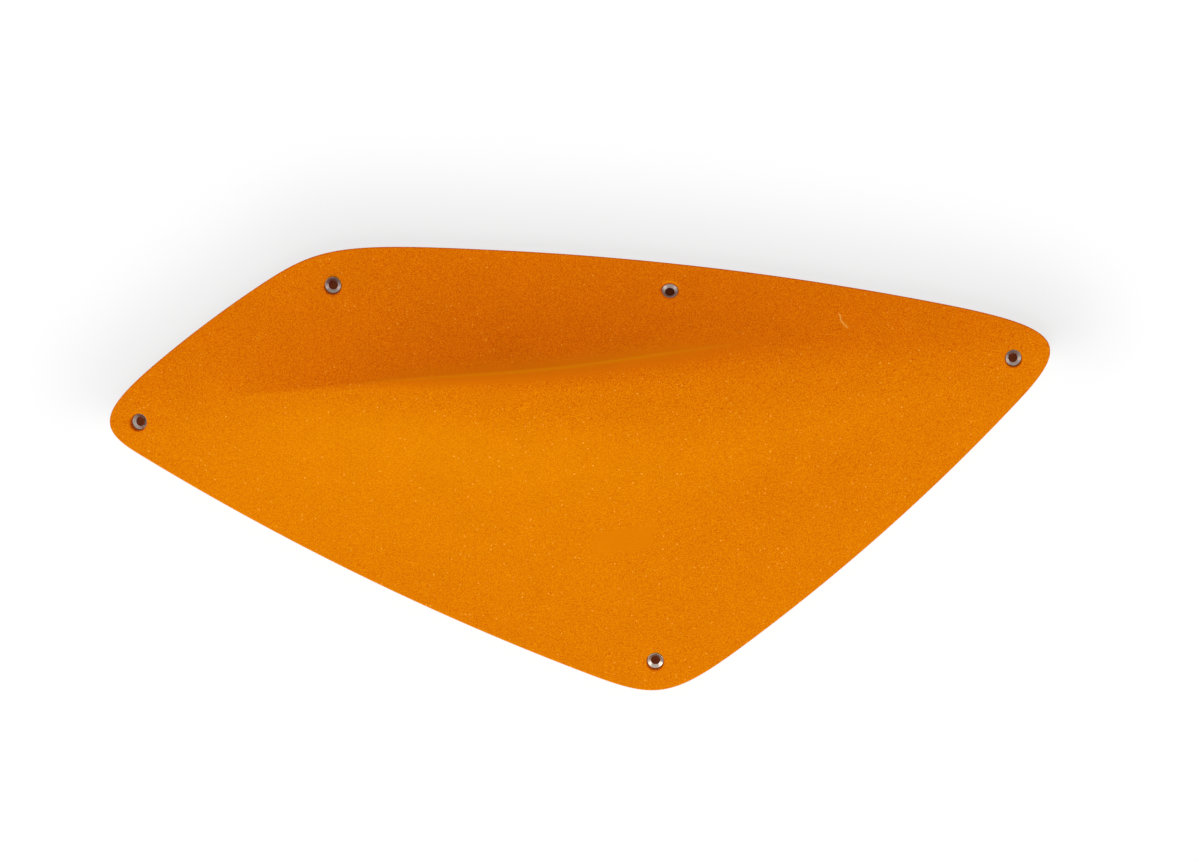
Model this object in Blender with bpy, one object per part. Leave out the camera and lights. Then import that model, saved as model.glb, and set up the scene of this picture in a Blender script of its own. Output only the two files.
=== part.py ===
"""Macro climbing hold: a laminated shell, hollow at the back, on an egg crate of plywood ribs.

Five dished steel inserts take the screws, each over a plywood block that fills the shell there.
Metres. The wall is z = 0 and +Z points away from it, +X runs along the crest.
"""

import math
from collections import namedtuple

import bmesh
import bpy
import numpy as np
from mathutils import Matrix, Vector

# Outline, seen from the front and going round clockwise. An edge is a shallow bow from one corner to
# the next, and a corner is rounded from a place before it to a place after it.
Corner = namedtuple("Corner", "x y round_before round_after pull bow_after")
LEFT_TIP = Corner(-0.3125, 0.0290, 0.0350, 0.0655, 0.82, 0.0060)
UPPER_LEFT = Corner(-0.1645, 0.1420, 0.0455, 0.1155, 0.91, 0.0150)
RIGHT_TIP = Corner(0.3185, 0.0865, 0.0895, 0.0555, 0.84, 0.0120)
BOTTOM_TIP = Corner(0.0540, -0.1485, 0.0815, 0.0510, 0.93, 0.0120)

# Shell
RIM_HEIGHT = 0.010
RIM_WIDTH = 0.009
RIM_CHAMFER = 0.0007
WALL = 0.0055

# Guide curves along the hold, each through (x, value) pairs. The crest is the highest line, the lip
# is the crease between the rounded crown and the hollow scoop, and slopes are in degrees.
CREST_Y = ((-0.262, 0.034), (-0.190, 0.0465), (-0.020, 0.0455), (0.150, 0.057), (0.262, 0.066))
CREST_HEIGHT = (
    (-0.262, 0.0140),
    (-0.238, 0.0178),
    (-0.190, 0.0320),
    (-0.110, 0.0470),
    (-0.020, 0.0490),
    (0.070, 0.0395),
    (0.150, 0.0275),
    (0.262, 0.0140),
)
LIP_Y = ((-0.262, 0.046), (-0.110, 0.0575), (-0.020, 0.0645), (0.070, 0.078), (0.150, 0.088), (0.262, 0.080))
CROWN_SLOPE = ((-0.262, 10), (-0.190, 17), (-0.020, 27), (0.070, 25), (0.262, 6))
SCOOP_SLOPE = ((-0.262, 10), (-0.190, 22), (-0.110, 29), (-0.020, 32), (0.070, 27), (0.262, 8))
SHOULDER_SLOPE = ((-0.262, 9), (-0.190, 18), (-0.110, 29), (-0.020, 25), (0.070, 18), (0.262, 6))
FOOT_SLOPE = ((-0.262, 6), (-0.190, 18), (-0.110, 18), (-0.020, 13), (0.070, 7), (0.262, 8))
SHOULDER_SHARE = 0.25
FOOT_SHARE = 0.50
LEAST_CROWN = 0.002
MOST_CROWN_SHARE = 0.6
TIP_BLEND = 0.070

# Screw places, with the lean of the insert away from +Z and the direction it leans to, in degrees
Screw = namedtuple("Screw", "name x y lean toward")
SCREWS = (
    Screw("left", -0.2810, 0.0300, 12, 200),
    Screw("upper_left", -0.1570, 0.1170, 6, 150),
    Screw("top", 0.0575, 0.1130, 18, 90),
    Screw("right", 0.2765, 0.0710, 10, 300),
    Screw("bottom", 0.0480, -0.1225, 12, 270),
)
INSERT_RADIUS = 0.0054
INSERT_HEIGHT = 0.0024
INSERT_EDGE = 0.0009
INSERT_LAND = 0.0006
INSERT_BORE_RADIUS = 0.0033
INSERT_BORE_LENGTH = 0.0007
INSERT_FOOT_RADIUS = 0.0044
INSERT_RECESS = 0.0008
POCKET_CLEARANCE = 0.0008
SCREW_BORE_RADIUS = 0.0037
BLOCK_RADIUS = 0.024

# Ribs. An end bay is the clear length from an end block to the middle of the nearest cross rib.
PLY_THICKNESS = 0.012
CROSS_RIB_COUNT = 5
END_BAY = 0.042
SLOT_SHARE = 0.5

# Clearances, and how far a cutter runs past what it cuts
BOND_GAP = 0.0003
SEAT_GAP = 0.0003
SLOT_GAP = 0.0003
PAST = 0.020

# Fineness of the meshes
Fineness = namedtuple("Fineness", "sections crown_rows side_rows")
FRONT = Fineness(sections=68, crown_rows=4, side_rows=12)
BACK = Fineness(sections=40, crown_rows=2, side_rows=7)
OUTLINE_STEPS = 120
ROUND_STEPS = 32
SECTION_HALVINGS = 30
SLOPE_STEP = 0.0005
SMOOTH_UP_TO = math.radians(30)


def clear_scene():
    for obj in list(bpy.data.objects):
        bpy.data.objects.remove(obj)


def bowed_edge(start, end):
    """A function of distance along the edge that gives the place and the direction of travel there."""
    a, b = Vector((start.x, start.y)), Vector((end.x, end.y))
    length = (b - a).length
    along = (b - a) / length
    outward = Vector((-along.y, along.x))

    def at(distance):
        share = distance / length
        place = a + along * distance + outward * (4 * start.bow_after * share * (1 - share))
        return place, along + outward * (4 * start.bow_after * (1 - 2 * share) / length)

    return at, length


def crossing(p, p_along, q, q_along):
    """Where two straight lines in the plane cross."""
    across = p_along.x * q_along.y - p_along.y * q_along.x
    reach = ((q.x - p.x) * q_along.y - (q.y - p.y) * q_along.x) / across
    return p + p_along * reach


def outline():
    """The outline as points going round clockwise, centred on its own box."""
    corners = (LEFT_TIP, UPPER_LEFT, RIGHT_TIP, BOTTOM_TIP)
    edges = [bowed_edge(corner, corners[(i + 1) % 4]) for i, corner in enumerate(corners)]
    points = []
    for i, corner in enumerate(corners):
        edge_in, length_in = edges[i - 1]
        edge_out, length_out = edges[i]
        first, first_along = edge_in(length_in - corner.round_before)
        last, last_along = edge_out(corner.round_after)
        peak = crossing(first, first_along, last, last_along)
        near_first, near_last = first.lerp(peak, corner.pull), last.lerp(peak, corner.pull)
        for s in np.arange(OUTLINE_STEPS) / OUTLINE_STEPS:
            middle = 3 * (1 - s) * s * ((1 - s) * near_first + s * near_last)
            points.append((1 - s) ** 3 * first + middle + s**3 * last)
        straight_end = length_out - corners[(i + 1) % 4].round_before
        for distance in np.linspace(corner.round_after, straight_end, OUTLINE_STEPS, endpoint=False):
            points.append(edge_out(distance)[0])
    points = np.array(points)
    return points - (points.min(axis=0) + points.max(axis=0)) / 2


def inset(points, distance):
    """The clockwise outline moved inwards by a distance."""
    along = np.roll(points, -1, axis=0) - np.roll(points, 1, axis=0)
    along /= np.linalg.norm(along, axis=1, keepdims=True)
    return points + distance * np.column_stack([along[:, 1], -along[:, 0]])


class Band:
    """An outline split at its left and right ends, so that it gives the upper and lower y at an x."""

    def __init__(self, points):
        points = np.roll(points, -points[:, 0].argmin(), axis=0)
        right = points[:, 0].argmax()
        self.upper = points[: right + 1]
        self.lower = np.vstack([points[right:], points[:1]])[::-1]
        self.low_x, self.high_x = points[0, 0], points[right, 0]

    def upper_y(self, x):
        return np.interp(x, self.upper[:, 0], self.upper[:, 1])

    def lower_y(self, x):
        return np.interp(x, self.lower[:, 0], self.lower[:, 1])


OUTLINE = outline()
RIM = Band(OUTLINE)
CREST_LOW_X, CREST_HIGH_X = CREST_Y[0][0], CREST_Y[-1][0]


def through(guide, x):
    """A smooth curve through the pairs of a guide, level beyond its ends."""
    places, values = np.array(guide, float).T
    slopes = np.gradient(values, places)
    x = np.clip(x, places[0], places[-1])
    i = np.clip(np.searchsorted(places, x) - 1, 0, len(places) - 2)
    step = places[i + 1] - places[i]
    u = (x - places[i]) / step
    return (
        (2 * u**3 - 3 * u**2 + 1) * values[i]
        + (u**3 - 2 * u**2 + u) * step * slopes[i]
        + (3 * u**2 - 2 * u**3) * values[i + 1]
        + (u**3 - u**2) * step * slopes[i + 1]
    )


def slope(guide, x):
    return np.tan(np.radians(through(guide, x)))


def crown_width(x_crest, length):
    """How far up its section line the lip lies from the crest."""
    width = through(LIP_Y, x_crest) - through(CREST_Y, x_crest)
    return np.clip(width, LEAST_CROWN, MOST_CROWN_SHARE * length)


def eased(u):
    """The fall over a unit run of a slope that changes smoothly from none to one."""
    return u**3 - 0.5 * u**4


def upper_fall(x_crest, length, share, fall, start_slope):
    """How far the crown and the scoop lie below the crest at a share of the way to the rim."""
    crown = crown_width(x_crest, length)
    flank = length - crown
    crown_slope, scoop_slope = slope(CROWN_SLOPE, x_crest), slope(SCOOP_SLOPE, x_crest)
    rim_slope = 2 * (fall - crown * (start_slope + crown_slope) / 2) / flank - scoop_slope
    u = np.clip(share * length / crown, 0, 1)
    v = np.clip((share * length - crown) / flank, 0, 1)
    on_crown = crown * (start_slope * u + (crown_slope - start_slope) * eased(u))
    in_scoop = flank * (scoop_slope * v + (rim_slope - scoop_slope) * v**2 / 2)
    return on_crown + in_scoop


def lower_fall(x_crest, length, share, fall, start_slope):
    """How far the shoulder and the broad lower face lie below the crest, in the same way."""
    nose = SHOULDER_SHARE * length
    flare = (FOOT_SHARE - SHOULDER_SHARE) * length
    skirt = length - nose - flare
    nose_slope, flare_slope = slope(SHOULDER_SLOPE, x_crest), slope(FOOT_SLOPE, x_crest)
    fallen = nose * (start_slope + nose_slope) / 2 + flare * (nose_slope + flare_slope) / 2
    rim_slope = 2 * (fall - fallen) / skirt - flare_slope
    u = np.clip(share * length / nose, 0, 1)
    v = np.clip((share * length - nose) / flare, 0, 1)
    w = np.clip((share * length - nose - flare) / skirt, 0, 1)
    return (
        nose * (start_slope * u + (nose_slope - start_slope) * eased(u))
        + flare * (nose_slope * v + (flare_slope - nose_slope) * eased(v))
        + skirt * (flare_slope * w + (rim_slope - flare_slope) * eased(w))
    )


def smooth_step(u):
    u = np.clip(u, 0, 1)
    return u**2 * (3 - 2 * u)


def crest_rise(guide, x_crest):
    """The rise of a guide along the crest, per metre of x."""
    x = np.clip(x_crest, CREST_LOW_X + SLOPE_STEP, CREST_HIGH_X - SLOPE_STEP)
    return (through(guide, x + SLOPE_STEP) - through(guide, x - SLOPE_STEP)) / (2 * SLOPE_STEP)


def divide_y(x):
    """The y of the line from tip to tip along the crest, which splits the front into two sides."""
    ends_x = (RIM.low_x, CREST_LOW_X, CREST_HIGH_X, RIM.high_x)
    ends_y = (RIM.upper_y(RIM.low_x), CREST_Y[0][1], CREST_Y[-1][1], RIM.upper_y(RIM.high_x))
    on_crest = (x > CREST_LOW_X) & (x < CREST_HIGH_X)
    return np.where(on_crest, through(CREST_Y, x), np.interp(x, ends_x, ends_y))


def section_line(section, upper):
    """Where a section line leaves the crest, and its run from there to the rim."""
    x_crest = CREST_LOW_X + section * (CREST_HIGH_X - CREST_LOW_X)
    x_rim = RIM.low_x + section * (RIM.high_x - RIM.low_x)
    y_crest = through(CREST_Y, x_crest)
    y_rim = np.where(upper, RIM.upper_y(x_rim), RIM.lower_y(x_rim))
    return x_crest, y_crest, x_rim - x_crest, y_rim - y_crest


def height(x, y):
    """The z of the front at places inside the outline.

    Straight section lines fan out from the crest to the rim, and halving finds the line through a
    place. Each line leaves the crest at the slope that the crest has in its direction, and near the
    tips its fall is a plain parabola.
    """
    x, y = np.asarray(x, float), np.asarray(y, float)
    upper = y >= divide_y(x)
    low, high = np.zeros(x.shape), np.ones(x.shape)
    for _ in range(SECTION_HALVINGS):
        middle = (low + high) / 2
        x_crest, y_crest, run_x, run_y = section_line(middle, upper)
        side = run_x * (y - y_crest) - run_y * (x - x_crest)
        beyond = np.where(upper, side < 0, side > 0)
        low, high = np.where(beyond, middle, low), np.where(beyond, high, middle)
    length = np.hypot(run_x, run_y)
    share = np.clip(((x - x_crest) * run_x + (y - y_crest) * run_y) / length**2, 0, 1)
    top = through(CREST_HEIGHT, x_crest)
    fall = top - RIM_HEIGHT
    turn = crest_rise(CREST_Y, x_crest)
    start_slope = -crest_rise(CREST_HEIGHT, x_crest) * (run_x + turn * run_y) / (1 + turn**2) / length
    section = (x_crest, length, share, fall, start_slope)
    upward = smooth_step(0.5 + run_y / length)
    sides = upward * upper_fall(*section) + (1 - upward) * lower_fall(*section)
    plain = length * start_slope * share + (fall - length * start_slope) * share**2
    tip = 1 - smooth_step(np.minimum(x_crest - CREST_LOW_X, CREST_HIGH_X - x_crest) / TIP_BLEND)
    return top - (1 - tip) * sides - tip * plain


def lowered(x, y, drop):
    """The z of a surface that lies a distance behind the front, measured square to it."""
    along_x = (height(x + SLOPE_STEP, y) - height(x - SLOPE_STEP, y)) / (2 * SLOPE_STEP)
    along_y = (height(x, y + SLOPE_STEP) - height(x, y - SLOPE_STEP)) / (2 * SLOPE_STEP)
    return height(x, y) - drop * np.sqrt(1 + along_x**2 + along_y**2)


def section_places(band, fineness):
    """Places in rows from the upper rim over the crest to the lower rim, a column for each section.

    Sections crowd at the tips, where the outline turns, and one row follows the lip between them.
    """
    t = (1 - np.cos(np.pi * np.arange(fineness.sections + 1) / fineness.sections)) / 2
    x_crest = CREST_LOW_X + t * (CREST_HIGH_X - CREST_LOW_X)
    x_rim = band.low_x + t * (band.high_x - band.low_x)
    crest = np.column_stack([x_crest, through(CREST_Y, x_crest)])
    to_upper = np.column_stack([x_rim, band.upper_y(x_rim)]) - crest
    to_lower = np.column_stack([x_rim, band.lower_y(x_rim)]) - crest
    length = np.linalg.norm(to_upper, axis=1)
    at_tip = np.cos(np.pi * t) ** 6
    crown_rows, side_rows = fineness.crown_rows, fineness.side_rows
    lip_share = (1 - at_tip) * crown_width(x_crest, length) / length + at_tip * crown_rows / side_rows
    rows = []
    for k in range(side_rows, 0, -1):
        past_lip = max(k - crown_rows, 0) / (side_rows - crown_rows)
        share = lip_share * min(k, crown_rows) / crown_rows + (1 - lip_share) * past_lip
        rows.append(crest + to_upper * share[:, None])
    for k in range(side_rows + 1):
        rows.append(crest + to_lower * (k / side_rows))
    return np.array(rows)


def rim_of(rows):
    """The outer loop of rows and columns, going round clockwise from the left tip."""
    return list(rows[0]) + list(rows[-1][-2:0:-1])


def object_from(name, mesh):
    data = bpy.data.meshes.new(name)
    mesh.to_mesh(data)
    mesh.free()
    obj = bpy.data.objects.new(name, data)
    bpy.context.scene.collection.objects.link(obj)
    return obj


def domed_solid(name, fineness, distance=0.0, drop=0.0, floor=0.0, chamfer=0.0):
    """A closed solid under the front: its outline inset by a distance, its top lowered by a wall."""
    places = section_places(Band(inset(OUTLINE, distance + chamfer)), fineness)
    x, y = places[..., 0], places[..., 1]
    z = lowered(x, y, drop)
    mesh = bmesh.new()
    rows = [[mesh.verts.new(point) for point in zip(*row)] for row in zip(x, y, z)]
    last = len(rows) - 1
    for i in range(last // 2):
        for tip in (0, -1):
            mesh.verts.remove(rows[i][tip])
            rows[i][tip] = rows[last - i][tip]
    for above, below in zip(rows, rows[1:]):
        for j in range(fineness.sections):
            mesh.faces.new(dict.fromkeys((above[j], below[j], below[j + 1], above[j + 1])))
    loop = rim_of(rows)
    wall = rim_of(section_places(Band(inset(OUTLINE, distance)), fineness))
    levels = [RIM_HEIGHT - chamfer, floor] if chamfer else [floor]
    for level in levels:
        lower_loop = [mesh.verts.new((px, py, level)) for px, py in wall]
        for a in range(len(loop)):
            b = (a + 1) % len(loop)
            mesh.faces.new((loop[a], loop[b], lower_loop[b], lower_loop[a]))
        loop = lower_loop
    bmesh.ops.triangulate(mesh, faces=mesh.faces, quad_method="FIXED")
    mesh.faces.new(loop)
    return object_from(name, mesh)


def turned_solid(name, profile):
    """A solid of revolution about Z, from (radius, z) pairs that go round its half section."""
    mesh = bmesh.new()
    verts = [mesh.verts.new((radius, 0, z)) for radius, z in profile]
    closed = verts + verts[:1] if profile[0][0] > 0 else verts
    edges = [mesh.edges.new(pair) for pair in zip(closed, closed[1:])]
    bmesh.ops.spin(
        mesh,
        geom=verts + edges,
        cent=(0, 0, 0),
        axis=(0, 0, 1),
        angle=2 * math.pi,
        steps=ROUND_STEPS,
        use_merge=True,
    )
    bmesh.ops.remove_doubles(mesh, verts=mesh.verts, dist=1e-7)
    bmesh.ops.recalc_face_normals(mesh, faces=mesh.faces)
    return object_from(name, mesh)


def round_bar(name, radius, low, high):
    return turned_solid(name, [(0, high), (radius, high), (radius, low), (0, low)])


def slab(name, start, end, thickness, low, high):
    """An upright slab along a line in plan."""
    length = (end - start).length
    mesh = bmesh.new()
    bmesh.ops.create_cube(mesh, size=1)
    bmesh.ops.scale(mesh, vec=(length, thickness, high - low), verts=mesh.verts)
    obj = object_from(name, mesh)
    middle = (start + end) / 2
    obj.location = (middle.x, middle.y, (low + high) / 2)
    obj.rotation_euler.z = math.atan2(end.y - start.y, end.x - start.x)
    return obj


def guide_only(obj):
    """Keeps a cutter out of the finished hold."""
    obj.hide_render = True
    obj.display_type = "WIRE"
    return obj


def combine(obj, operation, others):
    for other in others:
        modifier = obj.modifiers.new(f"{operation.lower()} {other.name}", "BOOLEAN")
        modifier.operation = operation
        modifier.object = other
        modifier.solver = "EXACT"


def material(name, colour, roughness, metallic=0.0):
    made = bpy.data.materials.new(name)
    made.use_nodes = True
    shader = made.node_tree.nodes["Principled BSDF"]
    shader.inputs["Base Color"].default_value = (*colour, 1)
    shader.inputs["Roughness"].default_value = roughness
    shader.inputs["Metallic"].default_value = metallic
    return made


def finish(obj, made):
    """Gives a piece its material, and shades its round faces smooth."""
    obj.data.materials.append(made)
    obj.data.shade_smooth()
    obj.data.set_sharp_from_angle(angle=SMOOTH_UP_TO)


def insert_frame(screw):
    """Where an insert sits: its top centre below the front, and its axis leaning out of the wall."""
    turn = math.radians(screw.toward)
    axis = Vector((math.cos(turn), math.sin(turn), 0)) * math.sin(math.radians(screw.lean))
    axis.z = math.cos(math.radians(screw.lean))
    over_bore = axis * (INSERT_HEIGHT - INSERT_BORE_LENGTH / 2 + INSERT_RECESS)
    x, y = screw.x + over_bore.x, screw.y + over_bore.y
    top = Vector((x, y, float(height(x, y)))) - axis * INSERT_RECESS
    return Matrix.Translation(top) @ axis.to_track_quat("Z", "Y").to_matrix().to_4x4()


def insert_profile():
    """Half section of an insert, its top at z = 0: a flat land, a dish down to the bore, a coned foot."""
    return [
        (INSERT_RADIUS - INSERT_LAND, 0),
        (INSERT_RADIUS, 0),
        (INSERT_RADIUS, -INSERT_EDGE),
        (INSERT_FOOT_RADIUS, -INSERT_HEIGHT),
        (INSERT_BORE_RADIUS, -INSERT_HEIGHT),
        (INSERT_BORE_RADIUS, INSERT_BORE_LENGTH - INSERT_HEIGHT),
    ]


def pocket_profile():
    """Half section of the pocket for an insert: its seat with clearance, and an open mouth above."""
    mouth = INSERT_RADIUS + POCKET_CLEARANCE
    return [
        (0, PAST),
        (mouth, PAST),
        (mouth, -INSERT_EDGE - SEAT_GAP),
        (INSERT_FOOT_RADIUS + POCKET_CLEARANCE, -INSERT_HEIGHT - SEAT_GAP),
        (0, -INSERT_HEIGHT - SEAT_GAP),
    ]


def make_screw_seats(shell, core, steel, ply):
    """The inserts, their pockets and bores in the shell, and the blocks behind them."""
    insert_mesh = None
    discs = []
    for screw in SCREWS:
        seat = insert_frame(screw)
        insert = turned_solid(f"screw_insert_{screw.name}", insert_profile())
        if insert_mesh is None:
            insert_mesh = insert.data
            finish(insert, steel)
        insert.data = insert_mesh
        insert.matrix_world = seat

        pocket = guide_only(turned_solid(f"pocket_cutter_{screw.name}", pocket_profile()))
        pocket.matrix_world = seat
        bore = guide_only(round_bar(f"bore_cutter_{screw.name}", SCREW_BORE_RADIUS, -PAST, seat.translation.z))
        bore.location.xy = screw.x, screw.y
        combine(shell, "DIFFERENCE", [pocket, bore])

        above = seat.translation.z + PAST
        block = round_bar(f"screw_block_{screw.name}", BLOCK_RADIUS, -PAST, above)
        block.location.xy = screw.x, screw.y
        combine(block, "INTERSECT", [core])
        combine(block, "DIFFERENCE", [bore])
        finish(block, ply)
        disc = guide_only(round_bar(f"block_clearance_{screw.name}", BLOCK_RADIUS + BOND_GAP, -PAST, above))
        disc.location.xy = screw.x, screw.y
        discs.append(disc)
    return discs


def make_ribs(core, discs, ply):
    """A spine between the end blocks and cross ribs over it, halved into each other and scribed."""
    top = max(value for _, value in CREST_HEIGHT) + PAST
    ends = [Vector((screw.x, screw.y)) for screw in SCREWS if screw.name in ("left", "right")]
    spine = slab("spine_rib", *ends, PLY_THICKNESS, -PAST, top)
    combine(spine, "INTERSECT", [core])
    combine(spine, "DIFFERENCE", discs)
    slots = []
    to_rib = BLOCK_RADIUS + END_BAY
    for count, x in enumerate(np.linspace(ends[0].x + to_rib, ends[1].x - to_rib, CROSS_RIB_COUNT)):
        y = ends[0].lerp(ends[1], (x - ends[0].x) / (ends[1].x - ends[0].x)).y
        start, end = Vector((x, RIM.lower_y(x))), Vector((x, RIM.upper_y(x)))
        split = SLOT_SHARE * float(lowered(x, y, WALL + BOND_GAP))
        rib = slab(f"cross_rib_{count + 1}", start, end, PLY_THICKNESS, -PAST, top)
        over_spine = guide_only(
            slab(f"spine_slot_{count + 1}", *ends, PLY_THICKNESS + 2 * SLOT_GAP, -PAST, split + SLOT_GAP / 2)
        )
        combine(rib, "INTERSECT", [core])
        combine(rib, "DIFFERENCE", [over_spine, *discs])
        finish(rib, ply)
        slots.append(
            guide_only(
                slab(f"rib_slot_{count + 1}", start, end, PLY_THICKNESS + 2 * SLOT_GAP, split - SLOT_GAP / 2, top)
            )
        )
    combine(spine, "DIFFERENCE", slots)
    finish(spine, ply)


def main():
    clear_scene()
    laminate = material("textured gelcoat", (0.80, 0.24, 0.006), 0.75)
    steel = material("zinc plated steel", (0.56, 0.50, 0.47), 0.35, 1.0)
    ply = material("birch plywood", (0.62, 0.44, 0.25), 0.7)

    shell = domed_solid("shell", FRONT, chamfer=RIM_CHAMFER)
    cavity = domed_solid("cavity_cutter", BACK, distance=RIM_WIDTH, drop=WALL, floor=-PAST)
    core = domed_solid("rib_core", BACK, distance=RIM_WIDTH + BOND_GAP, drop=WALL + BOND_GAP)
    guide_only(cavity)
    guide_only(core)
    combine(shell, "DIFFERENCE", [cavity])
    discs = make_screw_seats(shell, core, steel, ply)
    make_ribs(core, discs, ply)
    finish(shell, laminate)


main()
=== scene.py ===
# A macro climbing hold: a sand-textured orange gelcoat shell on a crate of plywood ribs, with five
# dished steel inserts for its screws. Metres. The wall, here the floor, is z = 0, and +X runs along
# the crest. The front is worked out in the same way as that of the solids, with a few of its guides
# fitted closer to the photograph's shading.

import math
from collections import namedtuple

import bmesh
import bpy
import numpy as np
from mathutils import Matrix, Vector


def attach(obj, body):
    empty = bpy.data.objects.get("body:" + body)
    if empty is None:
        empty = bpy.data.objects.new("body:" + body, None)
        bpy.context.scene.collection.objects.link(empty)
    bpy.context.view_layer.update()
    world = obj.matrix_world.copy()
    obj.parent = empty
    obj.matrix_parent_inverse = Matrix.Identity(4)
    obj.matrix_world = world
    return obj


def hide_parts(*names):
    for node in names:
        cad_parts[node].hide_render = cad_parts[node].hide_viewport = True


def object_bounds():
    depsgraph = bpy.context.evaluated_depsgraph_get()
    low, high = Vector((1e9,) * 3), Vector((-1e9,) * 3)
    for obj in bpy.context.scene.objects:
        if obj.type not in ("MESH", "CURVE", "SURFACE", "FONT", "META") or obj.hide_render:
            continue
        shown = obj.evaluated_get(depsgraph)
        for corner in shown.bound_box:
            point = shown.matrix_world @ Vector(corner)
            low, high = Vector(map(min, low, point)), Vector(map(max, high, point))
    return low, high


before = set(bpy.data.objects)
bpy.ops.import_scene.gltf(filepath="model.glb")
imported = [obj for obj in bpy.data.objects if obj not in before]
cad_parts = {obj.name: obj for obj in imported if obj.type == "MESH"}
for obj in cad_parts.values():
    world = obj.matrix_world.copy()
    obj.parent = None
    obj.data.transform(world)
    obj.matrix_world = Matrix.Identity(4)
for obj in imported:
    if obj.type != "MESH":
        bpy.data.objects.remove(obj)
cad_box = [list(corner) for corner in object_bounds()]

MM = 0.001

# Outline, seen from the front and going round clockwise. An edge is a shallow bow from one corner to
# the next, and a corner is rounded from a place before it to a place after it.
Corner = namedtuple("Corner", "x y round_before round_after pull bow_after")
LEFT_TIP = Corner(-0.3125, 0.0290, 0.0350, 0.0655, 0.82, 0.0060)
UPPER_LEFT = Corner(-0.1645, 0.1420, 0.0455, 0.1155, 0.91, 0.0150)
RIGHT_TIP = Corner(0.3185, 0.0865, 0.0895, 0.0555, 0.84, 0.0120)
BOTTOM_TIP = Corner(0.0540, -0.1485, 0.0815, 0.0510, 0.93, 0.0120)
OUTLINE_STEPS = 120

# Shell. The laminate stands on the wall with its rim, whose outer edge the mould rounds.
RIM_HEIGHT = 0.010
RIM_WIDTH = 0.009
RIM_ROUND = 1.0 * MM
BACK_ROUND = 0.5 * MM
WALL = 0.0055
INNER_FILLET = 3.0 * MM
LAY_UP_WAVE = 0.25 * MM

# Guide curves along the hold, each through (x, value) pairs. Slopes are in degrees.
CREST_Y = ((-0.262, 0.034), (-0.190, 0.0465), (-0.020, 0.0455), (0.150, 0.057), (0.262, 0.066))
CREST_HEIGHT = (
    (-0.262, 0.0140),
    (-0.238, 0.0178),
    (-0.190, 0.0320),
    (-0.110, 0.04694),
    (-0.020, 0.04890),
    (0.070, 0.0395),
    (0.150, 0.0275),
    (0.262, 0.0140),
)
LIP_Y = (
    (-0.262, 0.046),
    (-0.150, 0.0530),
    (-0.110, 0.0566),
    (-0.020, 0.0645),
    (0.070, 0.078),
    (0.150, 0.088),
    (0.262, 0.080),
)
CREST_TILT = (
    (-0.262, 0),
    (-0.190, 1.5),
    (-0.110, 1.5),
    (-0.020, 2),
    (0.070, 1.5),
    (0.150, 0),
    (0.262, 0),
)
CROWN_SLOPE = ((-0.262, 10), (-0.190, 18), (-0.020, 29), (0.070, 27), (0.262, 6))
SCOOP_SLOPE = (
    (-0.262, 10),
    (-0.190, 22),
    (-0.155, 26.8),
    (-0.110, 29.4),
    (-0.020, 32),
    (0.070, 27),
    (0.262, 8),
)
SHOULDER_SLOPE = ((-0.262, 9), (-0.190, 18), (-0.110, 29), (-0.020, 25), (0.070, 18), (0.262, 6))
FOOT_SLOPE = ((-0.262, 6), (-0.190, 18), (-0.110, 18), (-0.020, 13), (0.070, 7), (0.262, 8))
SHOULDER_SHARE = 0.25
FOOT_SHARE = 0.50
LEAST_CROWN = 0.002
MOST_CROWN_SHARE = 0.6
TIP_BLEND = 0.070
SECTION_HALVINGS = 30
SLOPE_STEP = 0.0005

# The lip is left without sand. The mould's joint stands a hair proud along it, a little down the crown,
# and the gelcoat is thin there and on both sides of it. It is yellower there with painted light as well:
# a painted highlight along the joint, and painted light on the shaded side above it, reaching further
# than below.
THIN_AND_LIT_BESIDE_JOINT = 0.3
THIN_AND_LIT_ABOVE = 9.0 * MM
THIN_AND_LIT_BELOW = 5.0 * MM
JOINT_HEIGHT = 0.04 * MM
JOINT_WIDTH = 1.1 * MM
JOINT_DOWN = ((-0.110, 0.0003), (-0.020, 0.0018), (0.040, 0.0025), (0.110, 0.0020))
JOINT_FADES = ((-0.150, 0), (-0.110, 0.6), (-0.060, 1), (0.060, 1), (0.120, 0))
LIP_BARE_WIDTH = 5.6 * MM
LIP_BARE_DOWN = 1.3 * MM
LIP_BAND = 5.0 * MM

# A place on the broad lower face that was masked off and is bare of sand
BARE_PATCH = namedtuple("BarePatch", "x y length width turn skew edge")(
    0.0275, -0.0455, 0.036, 0.0120, math.radians(7), 0.35, 0.0022
)

# Screw places, with the lean of the insert away from +Z and the direction it leans to, in degrees,
# how far its edge lies below the front, how much painted light the disc of painted shade behind its
# bore glows with, and how tarnished it is. The inserts sit up to 0.8 mm off the middle of the bores in
# the blocks.
Screw = namedtuple("Screw", "name x y lean toward recess light tarnish")
SCREWS = (
    Screw("left", -0.2804, 0.0303, 17, 208, 2.4 * MM, 1.1, 0.5),
    Screw("upper_left", -0.1570, 0.1172, 14, 268, 1.4 * MM, 1.0, 0.8),
    Screw("top", 0.0572, 0.1124, 30, 88, 1.2 * MM, 0.5, 0.7),
    Screw("right", 0.2761, 0.0710, 11, 285, 1.4 * MM, 0.9, 0.7),
    Screw("bottom", 0.0482, -0.1218, 20, 260, 1.0 * MM, 1.0, 0.2),
)
INSERT_RADIUS = 0.0052
INSERT_HEIGHT = 0.0025
INSERT_EDGE = 0.0009
INSERT_BORE_RADIUS = 0.0030
INSERT_BORE_LENGTH = 0.0011
INSERT_FOOT_RADIUS = 0.0044
INSERT_ROUND = 0.3 * MM
DISH_CURVE = 1.05
POCKET_CLEARANCE = 0.0002
MOUTH_ROUND = 1.2 * MM
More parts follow.
